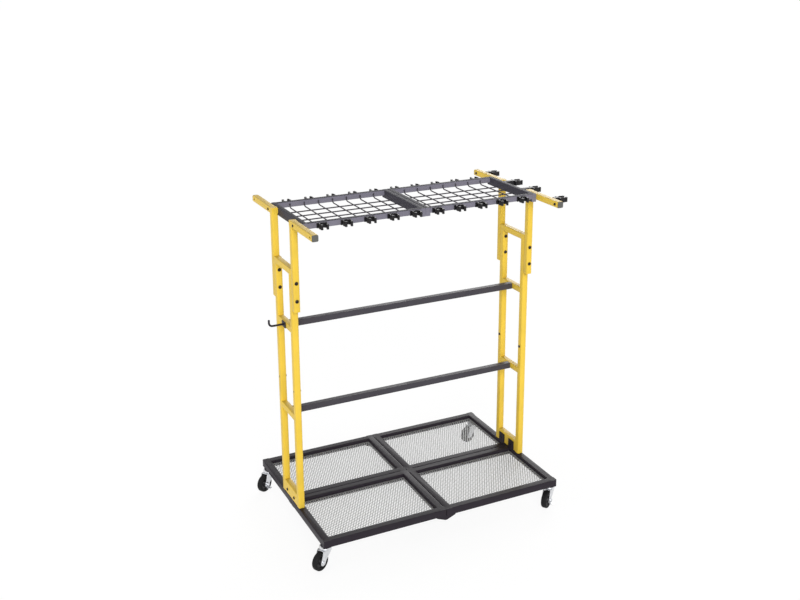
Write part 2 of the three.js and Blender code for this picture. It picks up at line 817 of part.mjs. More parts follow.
function wireGrid() {
  const radius = wireDiameter / 2;
  const length = gridHalf - 2 * gridRail - 2 * fitGap;
  const depth = gridDepth - 2 * gridRail - 2 * fitGap;
  const pitchY = (gridDepth - 2 * gridRail) / (longWires + 1);
  const longZ = -gridEndHeight + wireDiameter;
  const crossZ = longZ + wireDiameter * Math.cos(Math.PI / wireSides) - weldSink;
  const wires = [];
  for (let index = 0; index < longWires; index += 1) {
    const y = (index - (longWires - 1) / 2) * pitchY;
    const straight = [new THREE.Vector3(-length / 2, y, longZ), new THREE.Vector3(length / 2, y, longZ)];
    wires.push(swept(straight, radius));
  }
  const tipZ = crossZ + wireEndRise;
  const reach = depth / 2 - radius;
  const pitchX = (length - 2 * crossWireInset) / (crossWires - 1);
  for (let index = 0; index < crossWires; index += 1) {
    const x = (index - (crossWires - 1) / 2) * pitchX;
    const nearCentre = new THREE.Vector3(x, wireBend - reach, crossZ + wireBend);
    const farCentre = new THREE.Vector3(x, reach - wireBend, crossZ + wireBend);
    const near = bendPoints(nearCentre, unitY, toFloor, wireBend);
    const far = bendPoints(farCentre, toFront, toFloor, wireBend);
    const tips = [new THREE.Vector3(x, -reach, tipZ), new THREE.Vector3(x, reach, tipZ)];
    wires.push(swept([tips[0], ...near, ...far.reverse(), tips[1]], radius));
  }
  return fuse(...wires);
}

for (const side of sides) {
  const top = nest(rack, side.sign * gridMiddle, 0, baseTop + armTopRise + gridAboveArm);
  piece(`grid_frame_${side.name}`, gridFrame(side.sign), black, top);
  piece(`wire_grid_${side.name}`, wireGrid(), black, top);
}

// Side clips on the right end: the outer pair on the arms, the inner pair on the grid's end rail
// with longer stand-offs, so that all four open in one line
const armClipX = endFace + fitGap;
const gridClipX = gridHalf + fitGap + fitGap / 2;
const sideClipInner = ladderWidth / 2 + fitGap - clipBaseWidth / 2 - sideClipPostGap;
const sideClipOuter = armSpan / 2 - sideClipArmInset;
const innerStand = sideClipStand + armClipX - gridClipX;
for (const front of fronts) {
  const inner = piece(`side_clip_inner_${front.name}`, sideClip(innerStand), plastic);
  inner.position.set(gridClipX, front.sign * sideClipInner, baseTop + armAxisRise + sideClipRise);
  const outer = piece(`side_clip_outer_${front.name}`, sideClip(sideClipStand), plastic);
  outer.position.set(armClipX, front.sign * sideClipOuter, baseTop + armAxisRise + sideClipRise);
}

// Hose hook on the left end, a bent rod on a plate over the upper rung
function hoseHook() {
  const plate = at(block(hookPlateThickness, hookPlateWidth, hookPlateHeight), -hookPlateThickness / 2, 0, 0);
  const start = new THREE.Vector3(-hookPlateThickness / 2, 0, 0);
  const centre = new THREE.Vector3(hookBend - hookReach, 0, hookBend);
  const bend = bendPoints(centre, unitZ, toLeft, hookBend);
  const tip = new THREE.Vector3(-hookReach, 0, hookTipRise);
  return fuse(plate, swept([start, ...bend, tip], hookRod / 2));
}

piece("hose_hook", hoseHook(), black).position.set(-endFace - fitGap, 0, baseTop + fitGap + upperRungRise);

// The origin goes to the middle of the whole rack's footprint, on the floor
rack.updateMatrixWorld(true);
const reach = new THREE.Box3().setFromObject(rack, true);
const middle = reach.getCenter(new THREE.Vector3());
rack.position.set(-middle.x, -middle.y, -reach.min.z);

export default rack;
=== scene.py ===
"""Looks of the garden tool rack, laid out as an add-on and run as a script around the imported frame."""

import json
from math import acos, atan2, cos, hypot, pi, radians, sin

import bmesh
import bpy
from bpy.props import FloatProperty, FloatVectorProperty, PointerProperty
from mathutils import Matrix, Vector


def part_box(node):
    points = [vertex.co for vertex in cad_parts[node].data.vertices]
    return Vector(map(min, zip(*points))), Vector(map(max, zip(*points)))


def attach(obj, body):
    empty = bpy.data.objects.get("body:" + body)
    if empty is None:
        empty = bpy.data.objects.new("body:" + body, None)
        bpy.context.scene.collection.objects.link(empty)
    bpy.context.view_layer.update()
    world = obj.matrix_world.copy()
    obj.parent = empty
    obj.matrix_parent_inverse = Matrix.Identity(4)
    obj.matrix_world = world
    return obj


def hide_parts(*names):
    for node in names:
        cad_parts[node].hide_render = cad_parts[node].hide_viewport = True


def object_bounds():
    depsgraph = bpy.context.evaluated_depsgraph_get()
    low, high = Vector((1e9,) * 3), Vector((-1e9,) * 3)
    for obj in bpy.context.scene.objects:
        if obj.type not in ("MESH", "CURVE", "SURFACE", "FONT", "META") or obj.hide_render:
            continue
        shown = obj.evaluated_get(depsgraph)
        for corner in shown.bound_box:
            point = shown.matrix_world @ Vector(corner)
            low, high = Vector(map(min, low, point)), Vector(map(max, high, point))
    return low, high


bl_info = {
    "name": "Garden tool rack",
    "version": (1, 0, 0),
    "blender": (4, 5, 0),
    "location": "View3D > Sidebar > Tool rack",
    "description": "Builds the finishes and fine pieces of a freestanding garden tool rack around its frame",
    "category": "Add Mesh",
}

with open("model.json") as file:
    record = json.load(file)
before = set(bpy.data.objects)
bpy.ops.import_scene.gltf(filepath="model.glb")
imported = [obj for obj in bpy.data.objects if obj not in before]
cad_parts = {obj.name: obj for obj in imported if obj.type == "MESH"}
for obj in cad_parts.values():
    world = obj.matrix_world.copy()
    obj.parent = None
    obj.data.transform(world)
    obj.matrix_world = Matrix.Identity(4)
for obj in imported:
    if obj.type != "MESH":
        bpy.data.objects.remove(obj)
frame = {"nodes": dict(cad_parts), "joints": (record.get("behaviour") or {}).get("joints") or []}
cad_low, cad_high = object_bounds()

MM = 0.001
CORNERS = ("front_left", "front_right", "back_left", "back_right")
BRAKED = ("front_right", "back_left")
SIDES = (("left", -1), ("right", 1))
WAYS = (("front", -1), ("back", 1))
UP = Vector((0, 0, 1))


def centre_of(node):
    """The middle of a CAD node's box."""
    low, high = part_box(node)
    return (low + high) / 2


def nodes_named(start):
    """The CAD nodes whose names start like this."""
    return [node for node in frame["nodes"] if node.startswith(start)]


# The base's size, and places read from the frame
BASE_LENGTH, BASE_DEPTH = 1050 * MM, 720 * MM
deck_boxes = [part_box("tray_deck_" + corner) for corner in CORNERS]
BASE_X = (min(low.x for low, _ in deck_boxes) + max(high.x for _, high in deck_boxes)) / 2
BASE_Y = (min(low.y for low, _ in deck_boxes) + max(high.y for _, high in deck_boxes)) / 2
FOOT_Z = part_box("end_frame_left")[0].z
ARM_Z = centre_of("arm_plug_front_left").z


# Shader sums written as expressions
class Sum:
    """A socket that takes part in sums, which add their Math nodes."""

    def __init__(self, tree, socket):
        self.tree = tree
        self.socket = socket

    def math(self, operation, first, second):
        node = self.tree.nodes.new("ShaderNodeMath")
        node.operation = operation
        for socket, value in zip(node.inputs, (first, second)):
            if isinstance(value, Sum):
                self.tree.links.new(value.socket, socket)
            else:
                socket.default_value = value
        return Sum(self.tree, node.outputs[0])

    def __add__(self, other):
        return self.math("ADD", self, other)

    __radd__ = __add__

    def __sub__(self, other):
        return self.math("SUBTRACT", self, other)

    def __rsub__(self, other):
        return self.math("SUBTRACT", other, self)

    def __mul__(self, other):
        return self.math("MULTIPLY", self, other)

    __rmul__ = __mul__


class Nodes:
    """A node tree, emptied, and the ways to fill it."""

    def __init__(self, tree):
        self.tree = tree
        tree.nodes.clear()

    def feed(self, node, sockets):
        """Links or sets sockets, which are given by name or number."""
        for key, value in sockets.items():
            if isinstance(value, Sum):
                self.tree.links.new(value.socket, node.inputs[key])
            else:
                node.inputs[key].default_value = value

    def add(self, kind, settings, sockets):
        """A new node, with its settings made before its sockets are fed."""
        made = self.tree.nodes.new(kind)
        for key, value in settings.items():
            if key == "stops":
                for element, (place, level) in zip(made.color_ramp.elements, value):
                    element.position = place
                    element.color = (level, level, level, 1)
            else:
                setattr(made, key, value)
        self.feed(made, sockets)
        return made

    def node(self, kind, settings, sockets, out=0):
        """The output of a new node."""
        return Sum(self.tree, self.add(kind, settings, sockets).outputs[out])

    def shown(self):
        """1 for the rays that show a surface, directly or in metal or glass, and 0 for the rays that light it."""
        paths = self.add("ShaderNodeLightPath", {}, {})
        kinds = ("Camera", "Glossy", "Transmission")
        seen, mirrored, clear = (Sum(self.tree, paths.outputs[f"Is {kind} Ray"]) for kind in kinds)
        return seen + mirrored + clear


class Finish(Nodes):
    """A material, its shader and the nodes that lead to it."""

    def __init__(self, name, shader="ShaderNodeBsdfPrincipled", out="BSDF"):
        self.material = bpy.data.materials.new(name)
        self.material.use_nodes = True
        super().__init__(self.material.node_tree)
        self.shader = self.add(shader, {}, {})
        self.add("ShaderNodeOutputMaterial", {}, {"Surface": Sum(self.tree, self.shader.outputs[out])})

    def place(self):
        return self.node("ShaderNodeTexCoord", {}, {}, "Object")

    def noise(self, size, detail=2.0, where=None):
        """Soft noise from 0 to 1, with grains of a size in metres."""
        sockets = {"Vector": where or self.place(), "Scale": 1 / size, "Detail": detail}
        return self.node("ShaderNodeTexNoise", {}, sockets, "Fac")

    def stretched(self, along):
        """Places with their axes scaled: a share under 1 makes the grain longer that way."""
        return self.node("ShaderNodeVectorMath", {"operation": "MULTIPLY"}, {0: self.place(), 1: along})

    def between(self, share, first, second):
        """A mix of two colours."""
        first, second = (colour if isinstance(colour, Sum) else (*colour, 1) for colour in (first, second))
        return self.node("ShaderNodeMix", {"data_type": "RGBA"}, {0: share, 6: first, 7: second}, 2)

    def painted_shade_mask(self, axis):
        """How far a face looks along an axis, either way, from 0 to 1: the mask of the painted shade on tops and
        end faces.
        """
        normal = self.node("ShaderNodeNewGeometry", {}, {}, "Normal")
        part = self.node("ShaderNodeSeparateXYZ", {}, {"Vector": normal}, axis)
        return self.stepped(part.math("ABSOLUTE", part, 0), 0.4, 0.95)

    def stepped(self, value, low, high):
        """A value drawn out to run from 0 at the low stop to 1 at the high one."""
        return self.node("ShaderNodeValToRGB", {"stops": ((low, 0), (high, 1))}, {"Fac": value})

    def bumped(self, height, strength, depth):
        sockets = {"Height": height, "Strength": strength, "Distance": depth}
        return self.node("ShaderNodeBump", {}, sockets)

    def set(self, **sockets):
        self.feed(self.shader, {key.replace("_", " "): value for key, value in sockets.items()})


def shade(colour, amount):
    """A colour made lighter or darker."""
    return tuple(min(1, part * amount) for part in colour)


def powder_coat(name, colour, roughness, gleam, top, end=1):
    """Baked powder coat: orange peel, a slow drift of shade, and painted shade, with tops and end faces darkened
    to shares of the colour.
    """
    finish = Finish(name)
    drift = finish.stepped(finish.noise(90 * MM), 0.3, 0.7)
    peel = finish.noise(1.6 * MM)
    wall = finish.between(drift, shade(colour, 0.94), shade(colour, 1.05))
    if end != 1:
        # Painted shade: faces that look along X darken to the end share of the colour.
        wall = finish.between(finish.painted_shade_mask("X"), wall, shade(colour, end))
    finish.set(
        # Painted shade: faces that look up or down darken to the top share of the colour.
        Base_Color=finish.between(finish.painted_shade_mask("Z"), wall, shade(colour, top)),
        Roughness=roughness + 0.12 * (finish.noise(9 * MM) - 0.5),
        Normal=finish.bumped(peel, 0.18, 0.15 * MM),
        Specular_IOR_Level=gleam,
    )
    return finish.material


def zinc_plate(name, colour):
    """Bright zinc plating with faint rolling lines and clouded patches."""
    finish = Finish(name)
    cloud = finish.stepped(finish.noise(14 * MM, 4), 0.35, 0.7)
    lines = finish.noise(1.2 * MM, 3, finish.stretched((1, 1, 0.12)))
    finish.set(
        Base_Color=finish.between(cloud, shade(colour, 0.9), shade(colour, 1.06)),
        Metallic=0.9,
        Roughness=0.26 + 0.16 * finish.noise(5 * MM),
        Normal=finish.bumped(lines, 0.1, 0.08 * MM),
    )
    return finish.material


def galvanised(name, colour):
    """Galvanised sheet with the crystal patches of hot-dip zinc."""
    finish = Finish(name)
    spangle = finish.node("ShaderNodeTexVoronoi", {}, {"Vector": finish.place(), "Scale": 1 / (6 * MM)}, "Color")
    grey = finish.node("ShaderNodeRGBToBW", {}, {"Color": spangle})
    finish.set(
        Base_Color=finish.between(grey, shade(colour, 0.82), shade(colour, 1.12)),
        Metallic=0.4,
        Roughness=0.4 + 0.2 * grey,
        Normal=finish.bumped(finish.noise(0.8 * MM), 0.15, 0.06 * MM),
    )
    return finish.material


def rubber(name, colour):
    """Matte tyre rubber with a dusty film."""
    finish = Finish(name)
    dust = finish.stepped(finish.noise(11 * MM, 5), 0.45, 0.75)
    finish.set(
        Base_Color=finish.between(dust, colour, shade(colour, 1.7)),
        Specular_IOR_Level=0.2,
        Roughness=0.62 + 0.2 * dust,
        Normal=finish.bumped(finish.noise(0.9 * MM, 4), 0.3, 0.1 * MM),
    )
    return finish.material


def plastic(name, colour, roughness):
    """Moulded plastic with a fine spark-eroded grain."""
    finish = Finish(name)
    grain = finish.noise(0.5 * MM, 2)
    finish.set(
        Base_Color=finish.between(finish.noise(20 * MM), shade(colour, 0.85), shade(colour, 1.15)),
        Specular_IOR_Level=0.3,
        Roughness=roughness + 0.15 * (grain - 0.5),
        Normal=finish.bumped(grain, 0.22, 0.06 * MM),
    )
    return finish.material


def black_oxide(name, colour):
    """Blackened steel of bolts and nuts, a little oily and worn."""
    finish = Finish(name)
    wear = finish.stepped(finish.noise(3 * MM, 5), 0.5, 0.8)
    finish.set(
        Base_Color=finish.between(wear, colour, shade(colour, 3)),
        Metallic=0.6,
        Roughness=0.34 + 0.2 * wear,
        Normal=finish.bumped(finish.noise(0.7 * MM), 0.12, 0.05 * MM),
    )
    return finish.material


# Closed forms, each a pair of points and faces
def arc(x, y, radius, start, end, steps):
    """Points along an arc from one angle to another."""
    turns = [start + (end - start) * step / steps for step in range(steps + 1)]
    return [(x + radius * cos(turn), y + radius * sin(turn)) for turn in turns]


def circle(steps):
    """The cosines and sines of even steps round a circle."""
    return [(cos(2 * pi * step / steps), sin(2 * pi * step / steps)) for step in range(steps)]


def hexagon(radius):
    return arc(0, 0, radius, 0, 2 * pi * 5 / 6, 5)


def soft_rectangle(width, height, radius):
    x, y = width / 2 - radius, height / 2 - radius
    corners = ((x, -y, -pi / 2), (x, y, 0), (-x, y, pi / 2), (-x, -y, pi))
    return [point for cx, cy, start in corners for point in arc(cx, cy, radius, start, start + pi / 2, 4)]


def prism(outline, length):
    """An outline in the XY plane, drawn out along Z about the middle."""
    count = len(outline)
    points = [(x, y, z) for z in (-length / 2, length / 2) for x, y in outline]
    faces = [[i, (i + 1) % count, count + (i + 1) % count, count + i] for i in range(count)]
    return points, faces + [list(range(count))[::-1], list(range(count, 2 * count))]


def lathe(profile, steps=40):
    """Pairs of radius and height turned about Z. A profile with no point on the axis closes on itself."""
    points, rings = [], []
    for radius, height in profile:
        if radius < 1e-6:
            rings.append([len(points)] * steps)
            points.append((0, 0, height))
        else:
            rings.append([len(points) + step for step in range(steps)])
            points += [(radius * across, radius * up, height) for across, up in circle(steps)]
    pairs = list(zip(rings, rings[1:]))
    if profile[0][0] > 1e-6:
        pairs.append((rings[-1], rings[0]))
    faces = []
    for low, high in pairs:
        for step in range(steps):
            after = (step + 1) % steps
            face = [low[step], low[after], high[after], high[step]]
            faces.append(list(dict.fromkeys(face)))
    return points, faces


def pin(radius, low, high, steps=20):
    """A round pin along Z between two heights."""
    return lathe([(0, low), (radius, low), (radius, high), (0, high)], steps)


def rounded(profile, radius):
    """A profile with the corners between its two ends rounded."""
    made, steps = [profile[0]], 3
    for before, here, after in zip(profile, profile[1:], profile[2:]):
        before, here, after = Vector(before), Vector(here), Vector(after)
        room = min(radius, (before - here).length / 2, (after - here).length / 2)
        start = here + (before - here).normalized() * room
        end = here + (after - here).normalized() * room
        for step in range(steps + 1):
            t = step / steps
            made.append(tuple(start * (1 - t) ** 2 + here * 2 * t * (1 - t) + end * t * t))
    return made + [profile[-1]]


def tube(path, radius, sides=12):
    """A round bar along a path of points."""
    path = [Vector(point) for point in path]
    ahead = [(b - a).normalized() for a, b in zip(path, path[1:])]
    tangents = [ahead[0]] + [(a + b).normalized() for a, b in zip(ahead, ahead[1:])] + [ahead[-1]]
    side = tangents[0].orthogonal().normalized()
    points = []
    for spot, tangent in zip(path, tangents):
        side = (side - tangent * side.dot(tangent)).normalized()
        other = tangent.cross(side)
        points += [spot + radius * (side * across + other * up) for across, up in circle(sides)]
    faces = []
    for ring in range(len(path) - 1):
        for s in range(sides):
            a, b = ring * sides + s, ring * sides + (s + 1) % sides
            faces.append([a, b, b + sides, a + sides])
    last = len(points) - sides
    return points, faces + [list(range(sides))[::-1], list(range(last, last + sides))]


def axes(origin, x, y, z):
    """A place whose three axes lie along the given directions."""
    columns = Matrix((x, y, z)).transposed().to_4x4()
    return Matrix.Translation(origin) @ columns


def facing(origin, outward):
    """A place whose Z axis points outward."""
    outward = Vector(outward).normalized()
    side = UP.cross(outward) if abs(outward.z) < 0.9 else Vector((1, 0, 0))
    side.normalize()
    return axes(origin, side, outward.cross(side), outward)


class Shape:
    """The points and faces of one piece, gathered form by form."""

    def __init__(self):
        self.points = []
        self.faces = []

    def add(self, form, place=Matrix()):
        start = len(self.points)
        self.points += [place @ Vector(point) for point in form[0]]
        self.faces += [[start + index for index in face] for face in form[1]]
        return self


def mesh_of(name, shape, sharp=40):
    """A mesh with outward faces, smooth up to an angle in degrees."""
    mesh = bpy.data.meshes.new(name)
    mesh.from_pydata([tuple(point) for point in shape.points], [], shape.faces)
    work = bmesh.new()
    work.from_mesh(mesh)
    bmesh.ops.recalc_face_normals(work, faces=work.faces)
    work.to_mesh(mesh)
    work.free()
    mesh.shade_smooth()
    mesh.set_sharp_from_angle(angle=radians(sharp))
    return mesh


FINISHES = {}


def piece(name, mesh, finish, body="rack", replaced=(), place=None):
    """A piece of the object on its CAD body, which may stand for CAD nodes."""
    made = bpy.data.objects.new(name, mesh)
    bpy.context.scene.collection.objects.link(made)
    if not mesh.materials:
        mesh.materials.append(FINISHES[finish])
    if place is not None:
        made.matrix_world = place
    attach(made, body)
    if replaced:
        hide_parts(*replaced)
    return made


def eased(made, width):
    """Rounds the sharp edges of a piece."""
    bevel = made.modifiers.new("Eased edges", "BEVEL")
    bevel.width = width
    bevel.segments = 2
    bevel.limit_method = "ANGLE"
    bevel.angle_limit = radians(40)
    made.modifiers.new("Even shading", "WEIGHTED_NORMAL")


def dressed(node, finish):
    """Gives a CAD node its finish, and shades its narrow edge faces as rounded ones."""
    made = frame["nodes"][node]
    made.data.materials.clear()
    made.data.materials.append(FINISHES[finish])
    weld = made.modifiers.new("Joined facets", "WELD")
    weld.merge_threshold = 0.005 * MM
    split = made.modifiers.new("Square corners", "EDGE_SPLIT")
    split.split_angle = radians(50)
    made.modifiers.new("Round edges", "WEIGHTED_NORMAL")


# What a user may change
class RackFinishes(bpy.types.PropertyGroup):
    """Colours and roughness of the rack."""

    yellow: FloatVectorProperty(
        name="End frames", description="Powder coat of the end frames and arms",
        subtype="COLOR", default=(0.88, 0.60, 0.062), min=0, max=1)
    black: FloatVectorProperty(
        name="Trays", description="Powder coat of the trays, plates and hook",
        subtype="COLOR", default=(0.026, 0.021, 0.028), min=0, max=1)
    # Painted sheen: the crossbars and wires are the trays' black paint, given a lighter grey that stands in for
    # reflected light.
    bar: FloatVectorProperty(
        name="Bars", description="Powder coat of the crossbars and the top grid's wires",
        subtype="COLOR", default=(0.065, 0.060, 0.072), min=0, max=1)
    # Painted sheen: the top rails' black coat is given as a lighter grey that stands in for reflected light.
    rail: FloatVectorProperty(
        name="Top rails", description="Powder coat of the top grid's rails",
        subtype="COLOR", default=(0.22, 0.21, 0.26), min=0, max=1)
    zinc: FloatVectorProperty(
        name="Casters", description="Zinc plating of the forks, stems and axles",
        subtype="COLOR", default=(0.72, 0.73, 0.75), min=0, max=1)
    mesh: FloatVectorProperty(
        name="Tray mesh", description="Galvanised expanded metal of the trays",
        subtype="COLOR", default=(0.29, 0.29, 0.29), min=0, max=1)
    tyre: FloatVectorProperty(
        name="Tyres", description="Rubber of the wheels",
        subtype="COLOR", default=(0.006, 0.006, 0.0065), min=0, max=1)
    clip: FloatVectorProperty(
        name="Clips", description="Plastic of the handle clips and wheel cores",
        subtype="COLOR", default=(0.010, 0.009, 0.011), min=0, max=1)
    plug: FloatVectorProperty(
        name="Plugs", description="Plastic of the tube plugs",
        subtype="COLOR", default=(0.12, 0.12, 0.11), min=0, max=1)
    bolt: FloatVectorProperty(
        name="Bolts", description="Blackened steel of the bolts",
        subtype="COLOR", default=(0.02, 0.014, 0.012), min=0, max=1)
    roughness: FloatProperty(
        name="Roughness", description="Roughness of the powder coats", default=0.42, min=0.05, max=1)


class RackMesh(bpy.types.PropertyGroup):
    """Expanded metal of the trays."""

    cell_length: FloatProperty(
        name="Cell length", description="Long way of a diamond, from front to back",
        default=20 * MM, min=8 * MM, unit="LENGTH")
    cell_width: FloatProperty(
        name="Cell width", description="Short way of a diamond, along the rack",
        default=11 * MM, min=4 * MM, unit="LENGTH")
    strand: FloatProperty(
        name="Strand", description="Width of a strand", default=2.8 * MM, min=0.5 * MM, unit="LENGTH")
    sheet: FloatProperty(
        name="Sheet", description="Thickness of the sheet", default=1.2 * MM, min=0.3 * MM, unit="LENGTH")
    lift: FloatProperty(
        name="Lift", description="How far a strand's edges stand up and down",
        default=0.7 * MM, min=0, unit="LENGTH")


class RackCamera(bpy.types.PropertyGroup):
    """The photograph's view."""

    azimuth: FloatProperty(
        name="Azimuth", description="Direction round the rack", subtype="ANGLE", default=radians(-25.84))
    elevation: FloatProperty(
        name="Elevation", description="Angle above the horizon", subtype="ANGLE", default=radians(16.26))
    roll: FloatProperty(
        name="Roll", description="Turn about the line of sight", subtype="ANGLE", default=radians(-0.33))
    across: FloatProperty(
        name="Across", description="Camera's place along X from the base's left end",
        default=-1.2414, unit="LENGTH")
    forward: FloatProperty(
        name="Forward", description="Camera's place along Y from the base's front edge",
        default=-3.2357, unit="LENGTH")
    height: FloatProperty(
        name="Height", description="Camera's height above the trays' rails", default=2.2098, unit="LENGTH")
    lens: FloatProperty(
        name="Lens", description="Focal length in millimetres on a 36 mm sensor", default=46.9, min=10)
    shift: FloatProperty(
        name="Shift", description="How far the frame is moved down, as a share of its width", default=0.08)


class Paint(bpy.types.Operator):
    """Makes the rack's finishes"""

    bl_idname = "rack.paint"
    bl_label = "Make finishes"

    def execute(self, context):
        wish = context.scene.rack_finishes
        rough = wish.roughness
        FINISHES.update(
            # Painted shade: top and end are the shares of each coat's colour on faces that look up or down and
            # along X.
            yellow_powder_coat=powder_coat("Yellow powder coat", wish.yellow, rough, gleam=0.3, top=0.62),
            black_powder_coat=powder_coat("Black powder coat", wish.black, rough, gleam=0.12, top=0.55),
            bar_coat=powder_coat("Dark grey powder coat with painted sheen", wish.bar, rough, gleam=0.12, top=0.7),
            # Painted sheen in the rails' lighter grey, with painted shade on their tops and ends.
            rail_coat=powder_coat("Grey powder coat with painted sheen", wish.rail, rough, gleam=0.03, top=0.14, end=0.3),
            zinc_plate=zinc_plate("Zinc plate", wish.zinc),
            galvanised_mesh=galvanised("Galvanised sheet", wish.mesh),
            tyre_rubber=rubber("Tyre rubber", wish.tyre),
            black_plastic=plastic("Black plastic", wish.clip, 0.42),
            grey_plastic=plastic("Grey plastic", wish.plug, 0.5),
            dark_bolt=black_oxide("Black oxide", wish.bolt),
        )
        return {"FINISHED"}


# The CAD nodes that stay in sight, and their finishes
KEPT = (
    ("end_frame_", "yellow_powder_coat"),
    ("post_arm_", "yellow_powder_coat"),
    ("tray_frame_", "black_powder_coat"),
    ("joint_plate_", "black_powder_coat"),
)


class DressFrames(bpy.types.Operator):
    """Finishes the tubes and plates that come from the frame"""

    bl_idname = "rack.dress_frames"
    bl_label = "Finish tubes"

    def execute(self, context):
        for start, finish in KEPT:
            for node in nodes_named(start):
                dressed(node, finish)
        return {"FINISHED"}


DECK_BORDER = 4 * MM


def expanded_sheet(length, depth, wish):
    """Staggered diamonds in a flat border. Each strand leans, with one edge up and one down."""
    inner_x, inner_y = length - 2 * DECK_BORDER, depth - 2 * DECK_BORDER
    columns, rows = round(inner_x / wish.cell_width), round(inner_y / wish.cell_length)
    step_x, step_y = inner_x / columns, inner_y / rows
    reach = (step_x / 2) * (step_y / 2) / hypot(step_x / 2, step_y / 2)
    share = 1 - wish.strand / 2 / reach
    known, points, faces = {}, [], []

    def spot(x, y, z=0.0):
        key = (round(x * 1e6), round(y * 1e6))
        if key not in known:
            known[key] = len(points)
            points.append((x, y, z))
        return known[key]

    left, front = -inner_x / 2, -inner_y / 2
    cells = [(i + 0.5, j + 0.5) for i in range(columns) for j in range(rows)]
    cells += [(i, j) for i in range(1, columns) for j in range(1, rows)]
    ways = ((-step_x / 2, 0, -wish.lift), (0, -step_y / 2, 0), (step_x / 2, 0, wish.lift), (0, step_y / 2, 0))
    for column, row in cells:
        x, y = left + column * step_x, front + row * step_y
        outer = [spot(x + dx, y + dy) for dx, dy, _ in ways]
        inner = [spot(x + share * dx, y + share * dy, z) for dx, dy, z in ways]
        for side in range(4):
            after = (side + 1) % 4
            faces.append([outer[side], outer[after], inner[after], inner[side]])
    for sign in (-1, 1):
        for j in range(rows + 1):
            y = front + j * step_y
            low, high = max(y - step_y / 2, front), min(y + step_y / 2, -front)
            if 0 < j < rows:
                tip = spot(sign * (inner_x / 2 - step_x / 2), y)
                faces.append([spot(sign * inner_x / 2, low), tip, spot(sign * inner_x / 2, high)][::sign])
            ends = [(sign * inner_x / 2, low), (sign * length / 2, low), (sign * length / 2, high),
                    (sign * inner_x / 2, high)]
            faces.append([spot(*end) for end in ends][::sign])
        for i in range(columns + 1):
            x = left + i * step_x
            low, high = max(x - step_x / 2, left), min(x + step_x / 2, -left)
            if 0 < i < columns:
                tip = spot(x, sign * (inner_y / 2 - step_y / 2))
                faces.append([spot(high, sign * inner_y / 2), tip, spot(low, sign * inner_y / 2)][::sign])
            ends = [(high, sign * inner_y / 2), (high, sign * depth / 2), (low, sign * depth / 2),
                    (low, sign * inner_y / 2)]
            faces.append([spot(*end) for end in ends][::sign])
    for sx in (-1, 1):
        for sy in (-1, 1):
            x, y = sx * inner_x / 2, sy * inner_y / 2
            corner = [spot(x, y), spot(x, y - sy * step_y / 2), spot(x - sx * step_x / 2, y)]
            faces.append(corner[:: -sx * sy])
            square = [spot(x, y), spot(sx * length / 2, y), spot(sx * length / 2, sy * depth / 2),
                      spot(x, sy * depth / 2)]
            faces.append(square[:: sx * sy])
    return points, faces


class Decks(bpy.types.Operator):
    """Lays the expanded metal in the trays"""

    bl_idname = "rack.decks"
    bl_label = "Tray mesh"

    def execute(self, context):
        wish = context.scene.rack_mesh
        for corner in CORNERS:
            node = "tray_deck_" + corner
            low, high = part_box(node)
            size, middle = high - low, (low + high) / 2
            middle.z = high.z - wish.sheet / 2 - wish.lift
            shape = Shape().add(expanded_sheet(size.x, size.y, wish), Matrix.Translation(middle))
            name = "tray_mesh_" + corner
            made = piece(name, mesh_of(name, shape, 60), "galvanised_mesh", replaced=[node])
            thick = made.modifiers.new("Sheet", "SOLIDIFY")
            thick.thickness = wish.sheet
            thick.offset = 0
        return {"FINISHED"}


GRID_DEPTH = 350 * MM
RAIL, RAIL_HEIGHT = 20 * MM, 22 * MM
TUBE_ROUND = 2.5 * MM
CLIPS, CLIP_PITCH = 5, 95.01 * MM
CLIP_DROP = 1 * MM
CLIP_HEIGHT, CLIP_REACH = 19.8 * MM, 38.14 * MM
STAND_WIDTH = 21.8 * MM
WIRE_RADIUS, WIRE_BEND = 2.5 * MM, 12 * MM
LONG_WIRES, LONG_WIRE_PITCH = 4, 62 * MM
CROSS_WIRES, CROSS_WIRE_PITCH = 7, 60 * MM


def bar_between(start, end, width, height):
    """A tube's outside from one point to another, its height along Z."""
    start, end = Vector(start), Vector(end)
    along = (end - start).normalized()
    place = axes((start + end) / 2, UP.cross(along), UP, along)
    points, faces = prism(soft_rectangle(width, height, TUBE_ROUND), (end - start).length)
    return [place @ Vector(point) for point in points], faces


def clip_outline():
    """A spring clip that opens along +X, from its base plate on X = 0, with a round tip on each jaw."""
    bore, wall, base, half, tip, soft = 13.5 * MM, 3.5 * MM, 5 * MM, 20 * MM, 4.9 * MM, 1.5 * MM
    mouth, middle, outer, far = radians(37.7), base + bore, bore + wall, bore + tip
    tip_x, tip_y = middle + far * cos(mouth), far * sin(mouth)
    shoulder = mouth + acos((far ** 2 + outer ** 2 - tip ** 2) / (2 * far * outer))
    last = atan2(outer * sin(shoulder) - tip_y, middle + outer * cos(shoulder) - tip_x)
    side = [*arc(tip_x, tip_y, tip, mouth - pi, last, 12)[1:-1],
            *arc(middle, 0, outer, shoulder, pi - acos(bore / outer), 12),
            *arc(base - soft, half - soft, soft, 0, pi / 2, 3), (0, half)]
    other = [(x, -y) for x, y in side][::-1]
    return [*side, *other, *arc(middle, 0, bore, -mouth, mouth - 2 * pi, 28)]


def clip_mesh(stand=0.0):
    """A clip, held out from X = 0 by a stand-off of the given length."""
    shape = Shape().add(prism(clip_outline(), CLIP_HEIGHT), Matrix.Translation((stand, 0, 0)))
    if stand:
        length = stand + 0.5 * MM
        block = prism(soft_rectangle(CLIP_HEIGHT, STAND_WIDTH, 3 * MM), length)
        shape.add(block, facing((length / 2, 0, 0), (1, 0, 0)))
    return mesh_of("handle_clip", shape, 30)


def screw_head(radius, height):
    """A low domed head with a washer face and a socket."""
    socket = radius * 0.4
    profile = [(0, height * 0.45), (socket * 0.8, height * 0.5), (socket, height), (radius * 0.7, height * 0.9),
               (radius, height * 0.35), (radius, 0), (0, 0)]
    return lathe(profile, 24)


